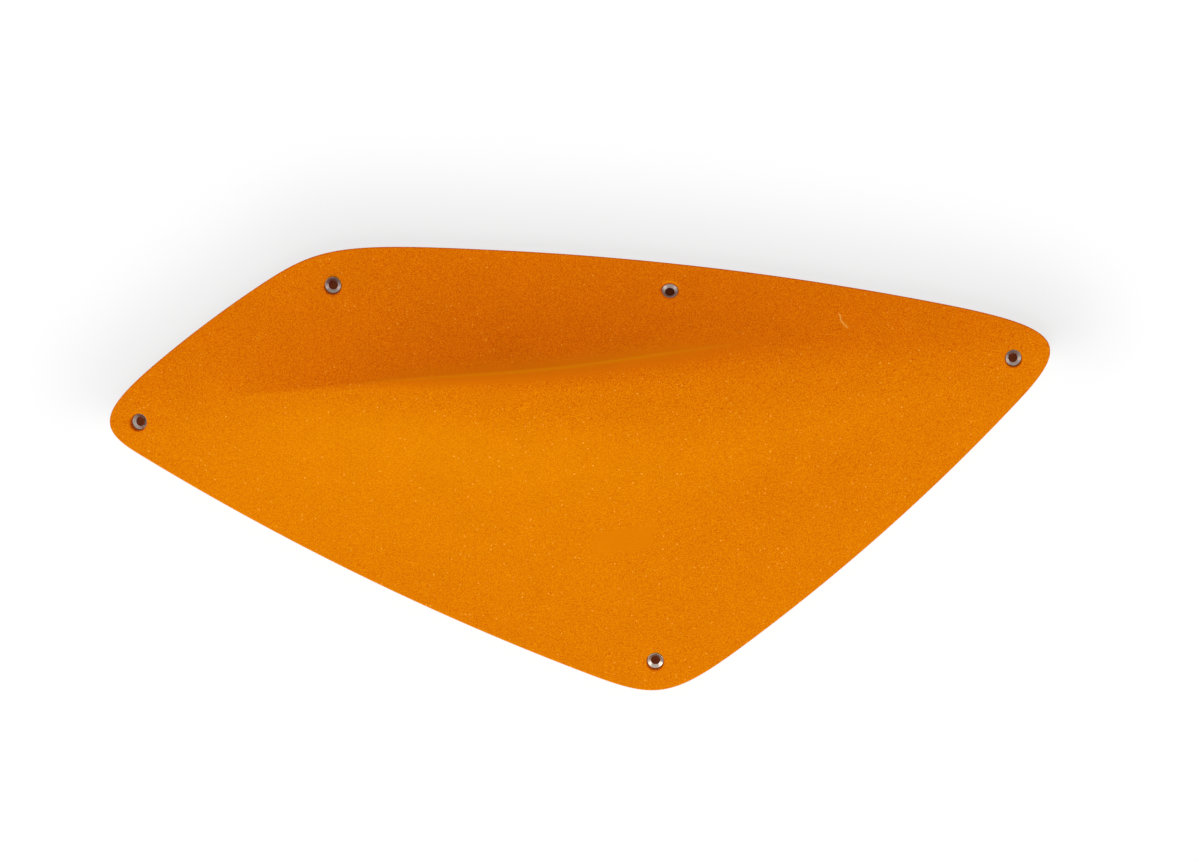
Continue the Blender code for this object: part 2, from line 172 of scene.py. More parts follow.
MOUTH_BLEND = math.radians(75)
MOUTH_SINK = 0.03 * MM
SEAT_GAP = 0.0003
SCREW_BORE_RADIUS = 0.0037
BORE_STAIN_AND_REFLECTION = 0.8 * MM
PAST = 0.020

# Fineness of the meshes
SECTIONS = 340
TIP_CROWDING = 0.90
TIP_FAN = 6
CROWN_ROWS, LIP_ROWS, SCOOP_ROWS = 14, 20, 32
INNER_ROWS = 30
ROUND_ROWS, BACK_ROUND_ROWS = 4, 2
TURNED_STEPS = 96
TURNED_EDGE_POINTS = 7
DISH_STEPS = 12
SMOOTH_UP_TO = math.radians(30)


def bowed_edge(start, end):
    """A function of distance along the edge that gives the place and the direction of travel there."""
    a, b = Vector((start.x, start.y)), Vector((end.x, end.y))
    length = (b - a).length
    along = (b - a) / length
    outward = Vector((-along.y, along.x))

    def at(distance):
        share = distance / length
        place = a + along * distance + outward * (4 * start.bow_after * share * (1 - share))
        return place, along + outward * (4 * start.bow_after * (1 - 2 * share) / length)

    return at, length


def crossing(p, p_along, q, q_along):
    """Where two straight lines in the plane cross."""
    across = p_along.x * q_along.y - p_along.y * q_along.x
    reach = ((q.x - p.x) * q_along.y - (q.y - p.y) * q_along.x) / across
    return p + p_along * reach


def outline():
    """The outline as points going round clockwise, drawn to the box of the solids.

    The solids have fewer points, so their corners fall up to 0.2 mm short of this curve.
    """
    corners = (LEFT_TIP, UPPER_LEFT, RIGHT_TIP, BOTTOM_TIP)
    edges = [bowed_edge(corner, corners[(i + 1) % 4]) for i, corner in enumerate(corners)]
    points = []
    for i, corner in enumerate(corners):
        edge_in, length_in = edges[i - 1]
        edge_out, length_out = edges[i]
        first, first_along = edge_in(length_in - corner.round_before)
        last, last_along = edge_out(corner.round_after)
        peak = crossing(first, first_along, last, last_along)
        near_first, near_last = first.lerp(peak, corner.pull), last.lerp(peak, corner.pull)
        for s in np.arange(OUTLINE_STEPS) / OUTLINE_STEPS:
            middle = 3 * (1 - s) * s * ((1 - s) * near_first + s * near_last)
            points.append((1 - s) ** 3 * first + middle + s**3 * last)
        straight_end = length_out - corners[(i + 1) % 4].round_before
        for distance in np.linspace(corner.round_after, straight_end, OUTLINE_STEPS, endpoint=False):
            points.append(edge_out(distance)[0])
    points = np.array(points)
    low, high = points.min(axis=0), points.max(axis=0)
    cad_low, cad_high = np.array(cad_box)[:, :2]
    return cad_low + (points - low) / (high - low) * (cad_high - cad_low)


def inset(points, distance):
    """The clockwise outline moved inwards by a distance."""
    along = np.roll(points, -1, axis=0) - np.roll(points, 1, axis=0)
    along /= np.linalg.norm(along, axis=1, keepdims=True)
    return points + distance * np.column_stack([along[:, 1], -along[:, 0]])


class Band:
    """An outline split at its left and right ends, so that it gives the upper and lower y at an x."""

    def __init__(self, points):
        points = np.roll(points, -points[:, 0].argmin(), axis=0)
        right = points[:, 0].argmax()
        self.upper = points[: right + 1]
        self.lower = np.vstack([points[right:], points[:1]])[::-1]
        self.low_x, self.high_x = points[0, 0], points[right, 0]

    def upper_y(self, x):
        return np.interp(x, self.upper[:, 0], self.upper[:, 1])

    def lower_y(self, x):
        return np.interp(x, self.lower[:, 0], self.lower[:, 1])


OUTLINE = outline()
RIM = Band(OUTLINE)
CREST_LOW_X, CREST_HIGH_X = CREST_Y[0][0], CREST_Y[-1][0]


def through(guide, x):
    """A smooth curve through the pairs of a guide, level beyond its ends."""
    places, values = np.array(guide, float).T
    slopes = np.gradient(values, places)
    x = np.clip(x, places[0], places[-1])
    i = np.clip(np.searchsorted(places, x) - 1, 0, len(places) - 2)
    step = places[i + 1] - places[i]
    u = (x - places[i]) / step
    return (
        (2 * u**3 - 3 * u**2 + 1) * values[i]
        + (u**3 - 2 * u**2 + u) * step * slopes[i]
        + (3 * u**2 - 2 * u**3) * values[i + 1]
        + (u**3 - u**2) * step * slopes[i + 1]
    )


def slope(guide, x):
    return np.tan(np.radians(through(guide, x)))


def crown_width(x_crest, length):
    """How far up its section line the lip lies from the crest."""
    width = through(LIP_Y, x_crest) - through(CREST_Y, x_crest)
    return np.clip(width, LEAST_CROWN, MOST_CROWN_SHARE * length)


def eased(u):
    """The fall over a unit run of a slope that changes smoothly from none to one."""
    return u**3 - 0.5 * u**4


def smooth_step(u):
    u = np.clip(u, 0, 1)
    return u**2 * (3 - 2 * u)


def upper_fall(x_crest, length, share, fall, start_slope):
    """How far the crown and the scoop lie below the crest at a share of the way to the rim."""
    crown = crown_width(x_crest, length)
    flank = length - crown
    crown_slope, scoop_slope = slope(CROWN_SLOPE, x_crest), slope(SCOOP_SLOPE, x_crest)
    rim_slope = 2 * (fall - crown * (start_slope + crown_slope) / 2) / flank - scoop_slope
    u = np.clip(share * length / crown, 0, 1)
    v = np.clip((share * length - crown) / flank, 0, 1)
    on_crown = crown * (start_slope * u + (crown_slope - start_slope) * eased(u))
    in_scoop = flank * (scoop_slope * v + (rim_slope - scoop_slope) * v**2 / 2)
    return on_crown + in_scoop


def lower_fall(x_crest, length, share, fall, start_slope):
    """How far the shoulder and the broad lower face lie below the crest, in the same way."""
    nose = SHOULDER_SHARE * length
    flare = (FOOT_SHARE - SHOULDER_SHARE) * length
    skirt = length - nose - flare
    nose_slope, flare_slope = slope(SHOULDER_SLOPE, x_crest), slope(FOOT_SLOPE, x_crest)
    fallen = nose * (start_slope + nose_slope) / 2 + flare * (nose_slope + flare_slope) / 2
    rim_slope = 2 * (fall - fallen) / skirt - flare_slope
    u = np.clip(share * length / nose, 0, 1)
    v = np.clip((share * length - nose) / flare, 0, 1)
    w = np.clip((share * length - nose - flare) / skirt, 0, 1)
    return (
        nose * (start_slope * u + (nose_slope - start_slope) * eased(u))
        + flare * (nose_slope * v + (flare_slope - nose_slope) * eased(v))
        + skirt * (flare_slope * w + (rim_slope - flare_slope) * eased(w))
    )


def crest_rise(guide, x_crest):
    """The rise of a guide along the crest, per metre of x."""
    x = np.clip(x_crest, CREST_LOW_X + SLOPE_STEP, CREST_HIGH_X - SLOPE_STEP)
    return (through(guide, x + SLOPE_STEP) - through(guide, x - SLOPE_STEP)) / (2 * SLOPE_STEP)


def divide_y(x):
    """The y of the line from tip to tip along the crest, which splits the front into two sides."""
    ends_x = (RIM.low_x, CREST_LOW_X, CREST_HIGH_X, RIM.high_x)
    ends_y = (RIM.upper_y(RIM.low_x), CREST_Y[0][1], CREST_Y[-1][1], RIM.upper_y(RIM.high_x))
    on_crest = (x > CREST_LOW_X) & (x < CREST_HIGH_X)
    return np.where(on_crest, through(CREST_Y, x), np.interp(x, ends_x, ends_y))


def section_line(section, upper):
    """Where a section line leaves the crest, and its run from there to the rim."""
    x_crest = CREST_LOW_X + section * (CREST_HIGH_X - CREST_LOW_X)
    x_rim = RIM.low_x + section * (RIM.high_x - RIM.low_x)
    y_crest = through(CREST_Y, x_crest)
    y_rim = np.where(upper, RIM.upper_y(x_rim), RIM.lower_y(x_rim))
    return x_crest, y_crest, x_rim - x_crest, y_rim - y_crest


def height(x, y):
    """The z of the front at places inside the outline.

    Straight section lines fan out from the crest to the rim, and halving finds the line through a
    place. Each line leaves the crest at the slope that the crest has in its direction, and near the
    tips its fall is a plain parabola.
    """
    x, y = np.asarray(x, float), np.asarray(y, float)
    upper = y >= divide_y(x)
    low, high = np.zeros(x.shape), np.ones(x.shape)
    for _ in range(SECTION_HALVINGS):
        middle = (low + high) / 2
        x_crest, y_crest, run_x, run_y = section_line(middle, upper)
        side = run_x * (y - y_crest) - run_y * (x - x_crest)
        beyond = np.where(upper, side < 0, side > 0)
        low, high = np.where(beyond, middle, low), np.where(beyond, high, middle)
    length = np.hypot(run_x, run_y)
    share = np.clip(((x - x_crest) * run_x + (y - y_crest) * run_y) / length**2, 0, 1)
    top = through(CREST_HEIGHT, x_crest)
    fall = top - RIM_HEIGHT
    turn = crest_rise(CREST_Y, x_crest)
    start_slope = -crest_rise(CREST_HEIGHT, x_crest) * (run_x + turn * run_y) / (1 + turn**2) / length
    start_slope -= slope(CREST_TILT, x_crest) * (run_y - turn * run_x) / np.sqrt(1 + turn**2) / length
    section = (x_crest, length, share, fall, start_slope)
    upward = smooth_step(0.5 + run_y / length)
    sides = upward * upper_fall(*section) + (1 - upward) * lower_fall(*section)
    plain = length * start_slope * share + (fall - length * start_slope) * share**2
    tip = 1 - smooth_step(np.minimum(x_crest - CREST_LOW_X, CREST_HIGH_X - x_crest) / TIP_BLEND)
    return top - (1 - tip) * sides - tip * plain


def front_slopes(x, y, step):
    """How steeply the front rises towards +X and towards +Y, measured over a step to each side."""
    rise_x = (height(x + step, y) - height(x - step, y)) / (2 * step)
    rise_y = (height(x, y + step) - height(x, y - step)) / (2 * step)
    return rise_x, rise_y


def lowered(x, y, drop):
    """The z of a surface that lies a distance behind the front, measured square to it."""
    rise_x, rise_y = front_slopes(x, y, SLOPE_STEP)
    return height(x, y) - drop * np.sqrt(1 + rise_x**2 + rise_y**2)


def section_ends(band):
    """Where each section line leaves the crest and where it meets the edge above and below it."""
    even = np.linspace(0, 1, SECTIONS + 1)
    t = TIP_CROWDING * (1 - np.cos(np.pi * even)) / 2 + (1 - TIP_CROWDING) * even
    x_crest = CREST_LOW_X + t * (CREST_HIGH_X - CREST_LOW_X)
    x_rim = band.low_x + t * (band.high_x - band.low_x)
    crest = np.column_stack([x_crest, through(CREST_Y, x_crest)])
    upper = np.column_stack([x_rim, band.upper_y(x_rim)])
    lower = np.column_stack([x_rim, band.lower_y(x_rim)])
    return t, crest, upper, lower


def edge_loop(distance):
    """Points round the outline inset by a distance, two for each section, clockwise from the left."""
    _, _, upper, lower = section_ends(Band(inset(OUTLINE, distance)))
    return np.vstack([upper, lower[-2:0:-1]])


def front_places():
    """Places of the front in rows from the upper rim to the lower rim, crowded along the lip.

    Also gives how far each place lies beyond the lip, along its section line.
    """
    t, crest, upper, lower = section_ends(Band(inset(OUTLINE, RIM_ROUND)))
    length = np.linalg.norm(upper - crest, axis=1)
    lip = crown_width(crest[:, 0], length)
    lip_low = np.maximum(lip - LIP_BAND, MM)
    lip_high = lip_low + 2 * LIP_BAND
    marks = [lip_low * k / CROWN_ROWS for k in range(CROWN_ROWS)]
    marks += [lip_low + 2 * LIP_BAND * k / LIP_ROWS for k in range(LIP_ROWS)]
    marks += [lip_high + (length - lip_high) * k / SCOOP_ROWS for k in range(SCOOP_ROWS + 1)]
    last = len(marks) - 1
    at_tip = np.cos(np.pi * t) ** TIP_FAN
    rows, beyond_lip = [], []
    for k, mark in reversed(list(enumerate(marks))):
        share = (1 - at_tip) * mark / length + at_tip * k / last
        rows.append(crest + (upper - crest) * share[:, None])
        beyond_lip.append(share * length - lip)
    for k in range(1, last + 1):
        rows.append(crest + (lower - crest) * (k / last))
        beyond_lip.append(-lip - k)
    return np.array(rows), np.array(beyond_lip)


def inner_places():
    """Places of the hollow's roof, in the same rows and with the same sections."""
    _, crest, upper, lower = section_ends(Band(inset(OUTLINE, RIM_WIDTH + INNER_FILLET)))
    rows = [crest + (upper - crest) * (k / INNER_ROWS) for k in range(INNER_ROWS, 0, -1)]
    rows += [crest + (lower - crest) * (k / INNER_ROWS) for k in range(INNER_ROWS + 1)]
    return np.array(rows)


def lay_up_wave(x, y):
    """The slow unevenness that a hand-laid laminate has on its inside.

    Its waves are 15 to 17 mm long and wander, with ripples of 7 to 10 mm on them.
    """
    return LAY_UP_WAVE * (
        np.sin(x * 410 + 2.1 * np.sin(y * 173)) * np.cos(y * 365 + 1.7 * np.sin(x * 141))
        + 0.5 * np.sin(x * 930 + y * 610 + 1.3 * np.sin(y * 820))
    )


def patch_share(x, y):
    """How much a place belongs to the bare patch, which is a slanted bar with soft edges."""
    p = BARE_PATCH
    along = (x - p.x) * math.cos(p.turn) + (y - p.y) * math.sin(p.turn)
    across = (y - p.y) * math.cos(p.turn) - (x - p.x) * math.sin(p.turn)
    along = along - p.skew * across
    outside = np.maximum(np.abs(along) - p.length / 2, np.abs(across) - p.width / 2)
    return 1 - smooth_step(outside / p.edge)


def in_scene(name, data):
    """A new object in the scene, from its mesh, lamp or camera data."""
    thing = bpy.data.objects.new(name, data)
    bpy.context.scene.collection.objects.link(thing)
    return thing


def new_piece(name, mesh):
    data = bpy.data.meshes.new(name)
    mesh.to_mesh(data)
    mesh.free()
    return in_scene(name, data)


def grid_verts(mesh, x, y, z):
    """Vertices in rows and columns, whose upper and lower rows share the two tips."""
    rows = [[mesh.verts.new(point) for point in zip(*row)] for row in zip(x, y, z)]
    last = len(rows) - 1
    for i in range(last // 2):
        for tip in (0, -1):
            mesh.verts.remove(rows[i][tip])
            rows[i][tip] = rows[last - i][tip]
    return rows


def span(mesh, rows, backwards=False):
    """Faces between rows of vertices."""
    for above, below in zip(rows, rows[1:]):
        for j in range(len(above) - 1):
            corners = list(dict.fromkeys((above[j], below[j], below[j + 1], above[j + 1])))
            mesh.faces.new(reversed(corners) if backwards else corners)


def join_loops(mesh, loop, next_loop):
    """Faces between two closed loops of vertices."""
    for a in range(len(loop)):
        b = (a + 1) % len(loop)
        mesh.faces.new((loop[a], loop[b], next_loop[b], next_loop[a]))


def belt(mesh, loop, places, levels):
    """Carries a loop of vertices on to the places of a new loop, with faces between them."""
    new_loop = [mesh.verts.new((x, y, z)) for (x, y), z in zip(places, levels)]
    join_loops(mesh, loop, new_loop)
    return new_loop


def rim_of(rows):
    """The outer loop of rows and columns, going round clockwise from the left tip."""
    return list(rows[0]) + list(rows[-1][-2:0:-1])


def laminated_shell():
    """The whole moulded shell: its front, rim, back edge and hand-laid inside, as one closed mesh."""
    places, beyond_lip = front_places()
    x, y = places[..., 0], places[..., 1]
    fade = through(JOINT_FADES, x)
    beyond_joint = beyond_lip + through(JOINT_DOWN, x)
    on_joint = np.exp(-((beyond_joint / JOINT_WIDTH) ** 2)) * fade
    # Thin gelcoat and painted light along the joint: a painted highlight on it, and painted light beside
    # it, wider on the shaded side above
    reach = np.where(beyond_joint > 0, THIN_AND_LIT_ABOVE, THIN_AND_LIT_BELOW)
    beside_joint = THIN_AND_LIT_BESIDE_JOINT * np.exp(-((beyond_joint / reach) ** 2)) * fade
    thin_and_lit = np.maximum(on_joint, beside_joint)
    near_lip = np.exp(-(((beyond_joint + LIP_BARE_DOWN) / LIP_BARE_WIDTH) ** 4)) * fade
    bare = np.maximum(near_lip, patch_share(x, y))
    mesh = bmesh.new()
    thin_coat_and_lip_light = mesh.verts.layers.float.new("thin_coat_and_lip_light")
    bare_of_sand = mesh.verts.layers.float.new("bare_of_sand")
    rows = grid_verts(mesh, x, y, height(x, y) + JOINT_HEIGHT * on_joint)
    for row, thin_row, bare_row in zip(rows, thin_and_lit, bare):
        for vert, thin_share, bare_share in zip(row, thin_row, bare_row):
            vert[thin_coat_and_lip_light] = thin_share
            vert[bare_of_sand] = bare_share
    span(mesh, rows)

    # The rounded outer edge, the side, and the flat back of the rim
    loop = rim_of(rows)
    inner_edge, outer_edge = edge_loop(RIM_ROUND), edge_loop(0)
    top = np.array([vert.co.z for vert in loop])
    shoulder = RIM_HEIGHT - RIM_ROUND
    for k in range(1, ROUND_ROWS + 1):
        turn = math.pi / 2 * k / ROUND_ROWS
        at = inner_edge + (outer_edge - inner_edge) * math.sin(turn)
        loop = belt(mesh, loop, at, shoulder + (top - shoulder) * math.cos(turn))
    for k in range(BACK_ROUND_ROWS + 1):
        turn = math.pi / 2 * k / BACK_ROUND_ROWS
        at = edge_loop(BACK_ROUND * (1 - math.cos(turn)))
        loop = belt(mesh, loop, at, np.full(len(at), BACK_ROUND * (1 - math.sin(turn))))
    outside_faces = len(mesh.faces)

    # The inside: a short wall, a fillet and the roof of the hollow
    foot = edge_loop(RIM_WIDTH)
    loop = belt(mesh, loop, foot, np.zeros(len(foot)))
    roof = inner_places()
    rx, ry = roof[..., 0], roof[..., 1]
    roof_z = lowered(rx, ry, WALL) + lay_up_wave(rx, ry)
    roof_rows = grid_verts(mesh, rx, ry, roof_z)
    roof_loop = rim_of(roof_rows)
    roof_edge = np.array([vert.co[:] for vert in roof_loop])
    wall_top = roof_edge[:, 2] - INNER_FILLET
    for k in range(ROUND_ROWS):
        turn = math.pi / 2 * k / ROUND_ROWS
        at = foot + (roof_edge[:, :2] - foot) * (1 - math.cos(turn))
        loop = belt(mesh, loop, at, wall_top + (roof_edge[:, 2] - wall_top) * math.sin(turn))
    join_loops(mesh, loop, roof_loop)
    span(mesh, roof_rows, backwards=True)
    mesh.faces.ensure_lookup_table()
    for face in mesh.faces[outside_faces:]:
        face.material_index = 1
    bmesh.ops.recalc_face_normals(mesh, faces=mesh.faces)
    return new_piece("laminated_shell", mesh)


def turned(mesh, profile, frame_at, capped=False):
    """Adds a solid of revolution, from (radius, z) pairs that go round its half section.

    A capped one has pairs from its upper to its lower end only, and is closed by two flat caps.
    """
    verts = [mesh.verts.new(frame_at @ Vector((radius, 0, z))) for radius, z in profile]
    run = verts if capped else verts + verts[:1]
    edges = [mesh.edges.new(pair) for pair in zip(run, run[1:])]
    bmesh.ops.spin(
        mesh,
        geom=verts + edges,
        cent=frame_at.translation,
        axis=(frame_at.to_3x3() @ Vector((0, 0, 1))).normalized(),
        angle=2 * math.pi,
        steps=TURNED_STEPS,
        use_merge=True,
    )
    bmesh.ops.holes_fill(mesh, edges=mesh.edges)


def standing(place, axis):
    """The frame at a place whose Z runs along the axis."""
    return Matrix.Translation(place) @ axis.to_track_quat("Z", "Y").to_matrix().to_4x4()


def insert_frame(screw):
    """Where an insert sits: its top centre below the front, and its axis leaning out of the wall."""
    turn = math.radians(screw.toward)
    axis = Vector((math.cos(turn), math.sin(turn), 0)) * math.sin(math.radians(screw.lean))
    axis.z = math.cos(math.radians(screw.lean))
    over_bore = axis * (INSERT_HEIGHT - INSERT_BORE_LENGTH / 2 + screw.recess)
    x, y = screw.x + over_bore.x, screw.y + over_bore.y
    return standing(Vector((x, y, float(height(x, y)))) - axis * screw.recess, axis)


def mouth_frame(screw):
    """The frame on the front over an insert, square to the front."""
    seat = insert_frame(screw)
    x, y, z = seat @ Vector((0, 0, screw.recess))
    rise_x, rise_y = front_slopes(x, y, MM)
    return standing(Vector((x, y, z)), Vector((-rise_x, -rise_y, 1)).normalized())


def insert_profile():
    """Half section of an insert: a rounded edge, a dish for the head of the screw, and a coned foot."""
    r = INSERT_ROUND
    points = [
        (INSERT_RADIUS - r + r * math.sin(turn), -r + r * math.cos(turn))
        for turn in np.linspace(0, math.pi / 2, TURNED_EDGE_POINTS)
    ]
    points += [
        (INSERT_RADIUS, -INSERT_EDGE),
        (INSERT_FOOT_RADIUS, -INSERT_HEIGHT),
        (INSERT_BORE_RADIUS, -INSERT_HEIGHT),
    ]
    dish_foot = INSERT_BORE_LENGTH - INSERT_HEIGHT
    dish_width = INSERT_RADIUS - r - INSERT_BORE_RADIUS
    for u in np.linspace(0, 1, DISH_STEPS, endpoint=False):
        points.append((INSERT_BORE_RADIUS + dish_width * u, dish_foot * (1 - u**DISH_CURVE)))
    return points


def pocket_profile():
    """Half section of the pocket for an insert, with its clearance, down from above the front."""
    mouth = INSERT_RADIUS + POCKET_CLEARANCE
    foot = INSERT_FOOT_RADIUS + POCKET_CLEARANCE
    return [(mouth, PAST), (mouth, -INSERT_EDGE - SEAT_GAP), (foot, -INSERT_HEIGHT - SEAT_GAP)]


def mouth_profile():
    """Half section of the ring that is taken off round the mouth of a pocket, to round its edge."""
    mouth, r = INSERT_RADIUS + POCKET_CLEARANCE - MOUTH_SINK, MOUTH_ROUND
    arc = [
        (mouth + r - r * math.cos(turn), r * math.sin(turn) - r - MOUTH_SINK)
        for turn in np.linspace(MOUTH_BLEND, 0, TURNED_EDGE_POINTS)
    ]
    inner, outer = mouth - r, arc[0][0] + r
    arc_start = arc[0][1] + r / math.tan(MOUTH_BLEND)
    return [(inner, r), (outer, r), (outer, arc_start), *arc, (inner, arc[-1][1])]


def cut_away(piece, name, solids, finish, capped=True):
    """Cuts solids of revolution out of a piece, and gives the cut faces their own finish."""
    mesh = bmesh.new()
    for profile, frame_at in solids:
        turned(mesh, profile, frame_at, capped)
    bmesh.ops.recalc_face_normals(mesh, faces=mesh.faces)
    cutter = new_piece(name, mesh)
    cutter.data.materials.append(finish)
    modifier = piece.modifiers.new(name, "BOOLEAN")
    modifier.operation = "DIFFERENCE"
    modifier.solver = "EXACT"
    modifier.material_mode = "TRANSFER"
    modifier.object = cutter
    cut = piece.evaluated_get(bpy.context.evaluated_depsgraph_get())
    piece.data = bpy.data.meshes.new_from_object(cut)
    piece.modifiers.clear()
    bpy.data.objects.remove(cutter)


def smooth(piece):
    piece.data.shade_smooth()
    piece.data.set_sharp_from_angle(angle=SMOOTH_UP_TO)


def colour(code):
    """Linear colour of an sRGB hex code."""
    parts = [int(code[i : i + 2], 16) / 255 for i in (1, 3, 5)]
    return (*(p / 12.92 if p <= 0.04045 else ((p + 0.055) / 1.055) ** 2.4 for p in parts), 1)


def per(size):
    """The scale of a pattern whose grain has this size."""
    return 1 / size


def set_up(tree, node, settings, links):
    """Sets a node's properties and sockets, and links other nodes' outputs into it.

    A node that is given as a source stands for its first output.
    """
    for name, value in settings.items():
        if isinstance(name, str) and hasattr(node, name):
            setattr(node, name, value)
        else:
            node.inputs[name].default_value = value
    for name, source in links.items():
        if isinstance(source, bpy.types.Node):
            source = next(output for output in source.outputs if output.enabled)
        tree.links.new(source, node.inputs[name])
    return node


def add(tree, kind, settings={}, links={}):
    """Adds a node of a kind, with its settings and links."""
    return set_up(tree, tree.nodes.new(kind), settings, links)


def new_material(name):
    made = bpy.data.materials.new(name)
    made.use_nodes = True
    return made, made.node_tree, made.node_tree.nodes["Principled BSDF"]


def set_stops(ramp, stops):
    """Gives a colour ramp its (place, hex colour) stops."""
    elements = ramp.color_ramp.elements
    while len(elements) > 1:
        elements.remove(elements[-1])
    elements[0].position, elements[0].color = stops[0][0], colour(stops[0][1])
    for place, code in stops[1:]:
        elements.new(place).color = colour(code)


# Light comes from low on the left of the lower edge
TO_LAMP = Vector((-0.159, -0.689, 0.707))

# Sizes and strengths in the gelcoat. The painted shade between the grains fades as the cosine of the
# angle to the lamp rises through GRIT_FADES, and one speck in five is kept.
GRIT = 0.8 * MM
GRIT_RELIEF = 0.22 * MM
GRIT_SHADE = (0.85, 2.3, 2.3)
GRIT_FADES = (0.70, 0.95)
GRIT_LEFT = 0.6
CLOUD = 22 * MM
CLOUD_SHADE = 0.02
THIN_AND_LIT_TINT = 0.9
SPECK_SPACING = 2.8 * MM
SPECK_RADIUS = 0.65 * MM
SPECK_CORE = 0.4
SPECKS_DROPPED = 0.80
FAINTEST_SPECK = 0.25
STREAK = 1.5 * MM
GELCOAT_IOR = 1.55
GELCOAT_GLANCE = "#FF8A10"

# A pale scuff in the scoop, from bend to bend
SCUFF = ((0.1644, 0.0982), (0.1653, 0.0976), (0.1656, 0.0947), (0.1668, 0.0926), (0.1696, 0.0898))
SCUFF_WIDTH = 1.9 * MM


def scuff_share(tree, place):
    """How much a place belongs to the scuff, from its distance to the nearest stretch."""
    flat = add(tree, "ShaderNodeVectorMath", {"operation": "MULTIPLY", 1: (1, 1, 0)}, {0: place})
    nearest = None
    for start, end in zip(SCUFF, SCUFF[1:]):
        start, end = Vector((*start, 0)), Vector((*end, 0))
        run = end - start
        onto_run = {"operation": "DOT_PRODUCT", 1: run / run.length_squared}
        from_start = add(tree, "ShaderNodeVectorMath", {"operation": "SUBTRACT", 1: start}, {0: flat})
        along = add(tree, "ShaderNodeVectorMath", onto_run, {0: from_start})
        share = add(tree, "ShaderNodeClamp", {}, {"Value": along})
        foot = add(tree, "ShaderNodeVectorMath", {"operation": "SCALE", 0: run}, {"Scale": share})
        away = add(tree, "ShaderNodeVectorMath", {"operation": "DISTANCE"}, {0: from_start, 1: foot})
        if nearest is not None:
            away = add(tree, "ShaderNodeMath", {"operation": "MINIMUM"}, {0: nearest, 1: away})
        nearest = away
    return add(
        tree, "ShaderNodeMapRange", {"From Min": SCUFF_WIDTH / 2, "From Max": 0.0}, {"Value": nearest}
    )


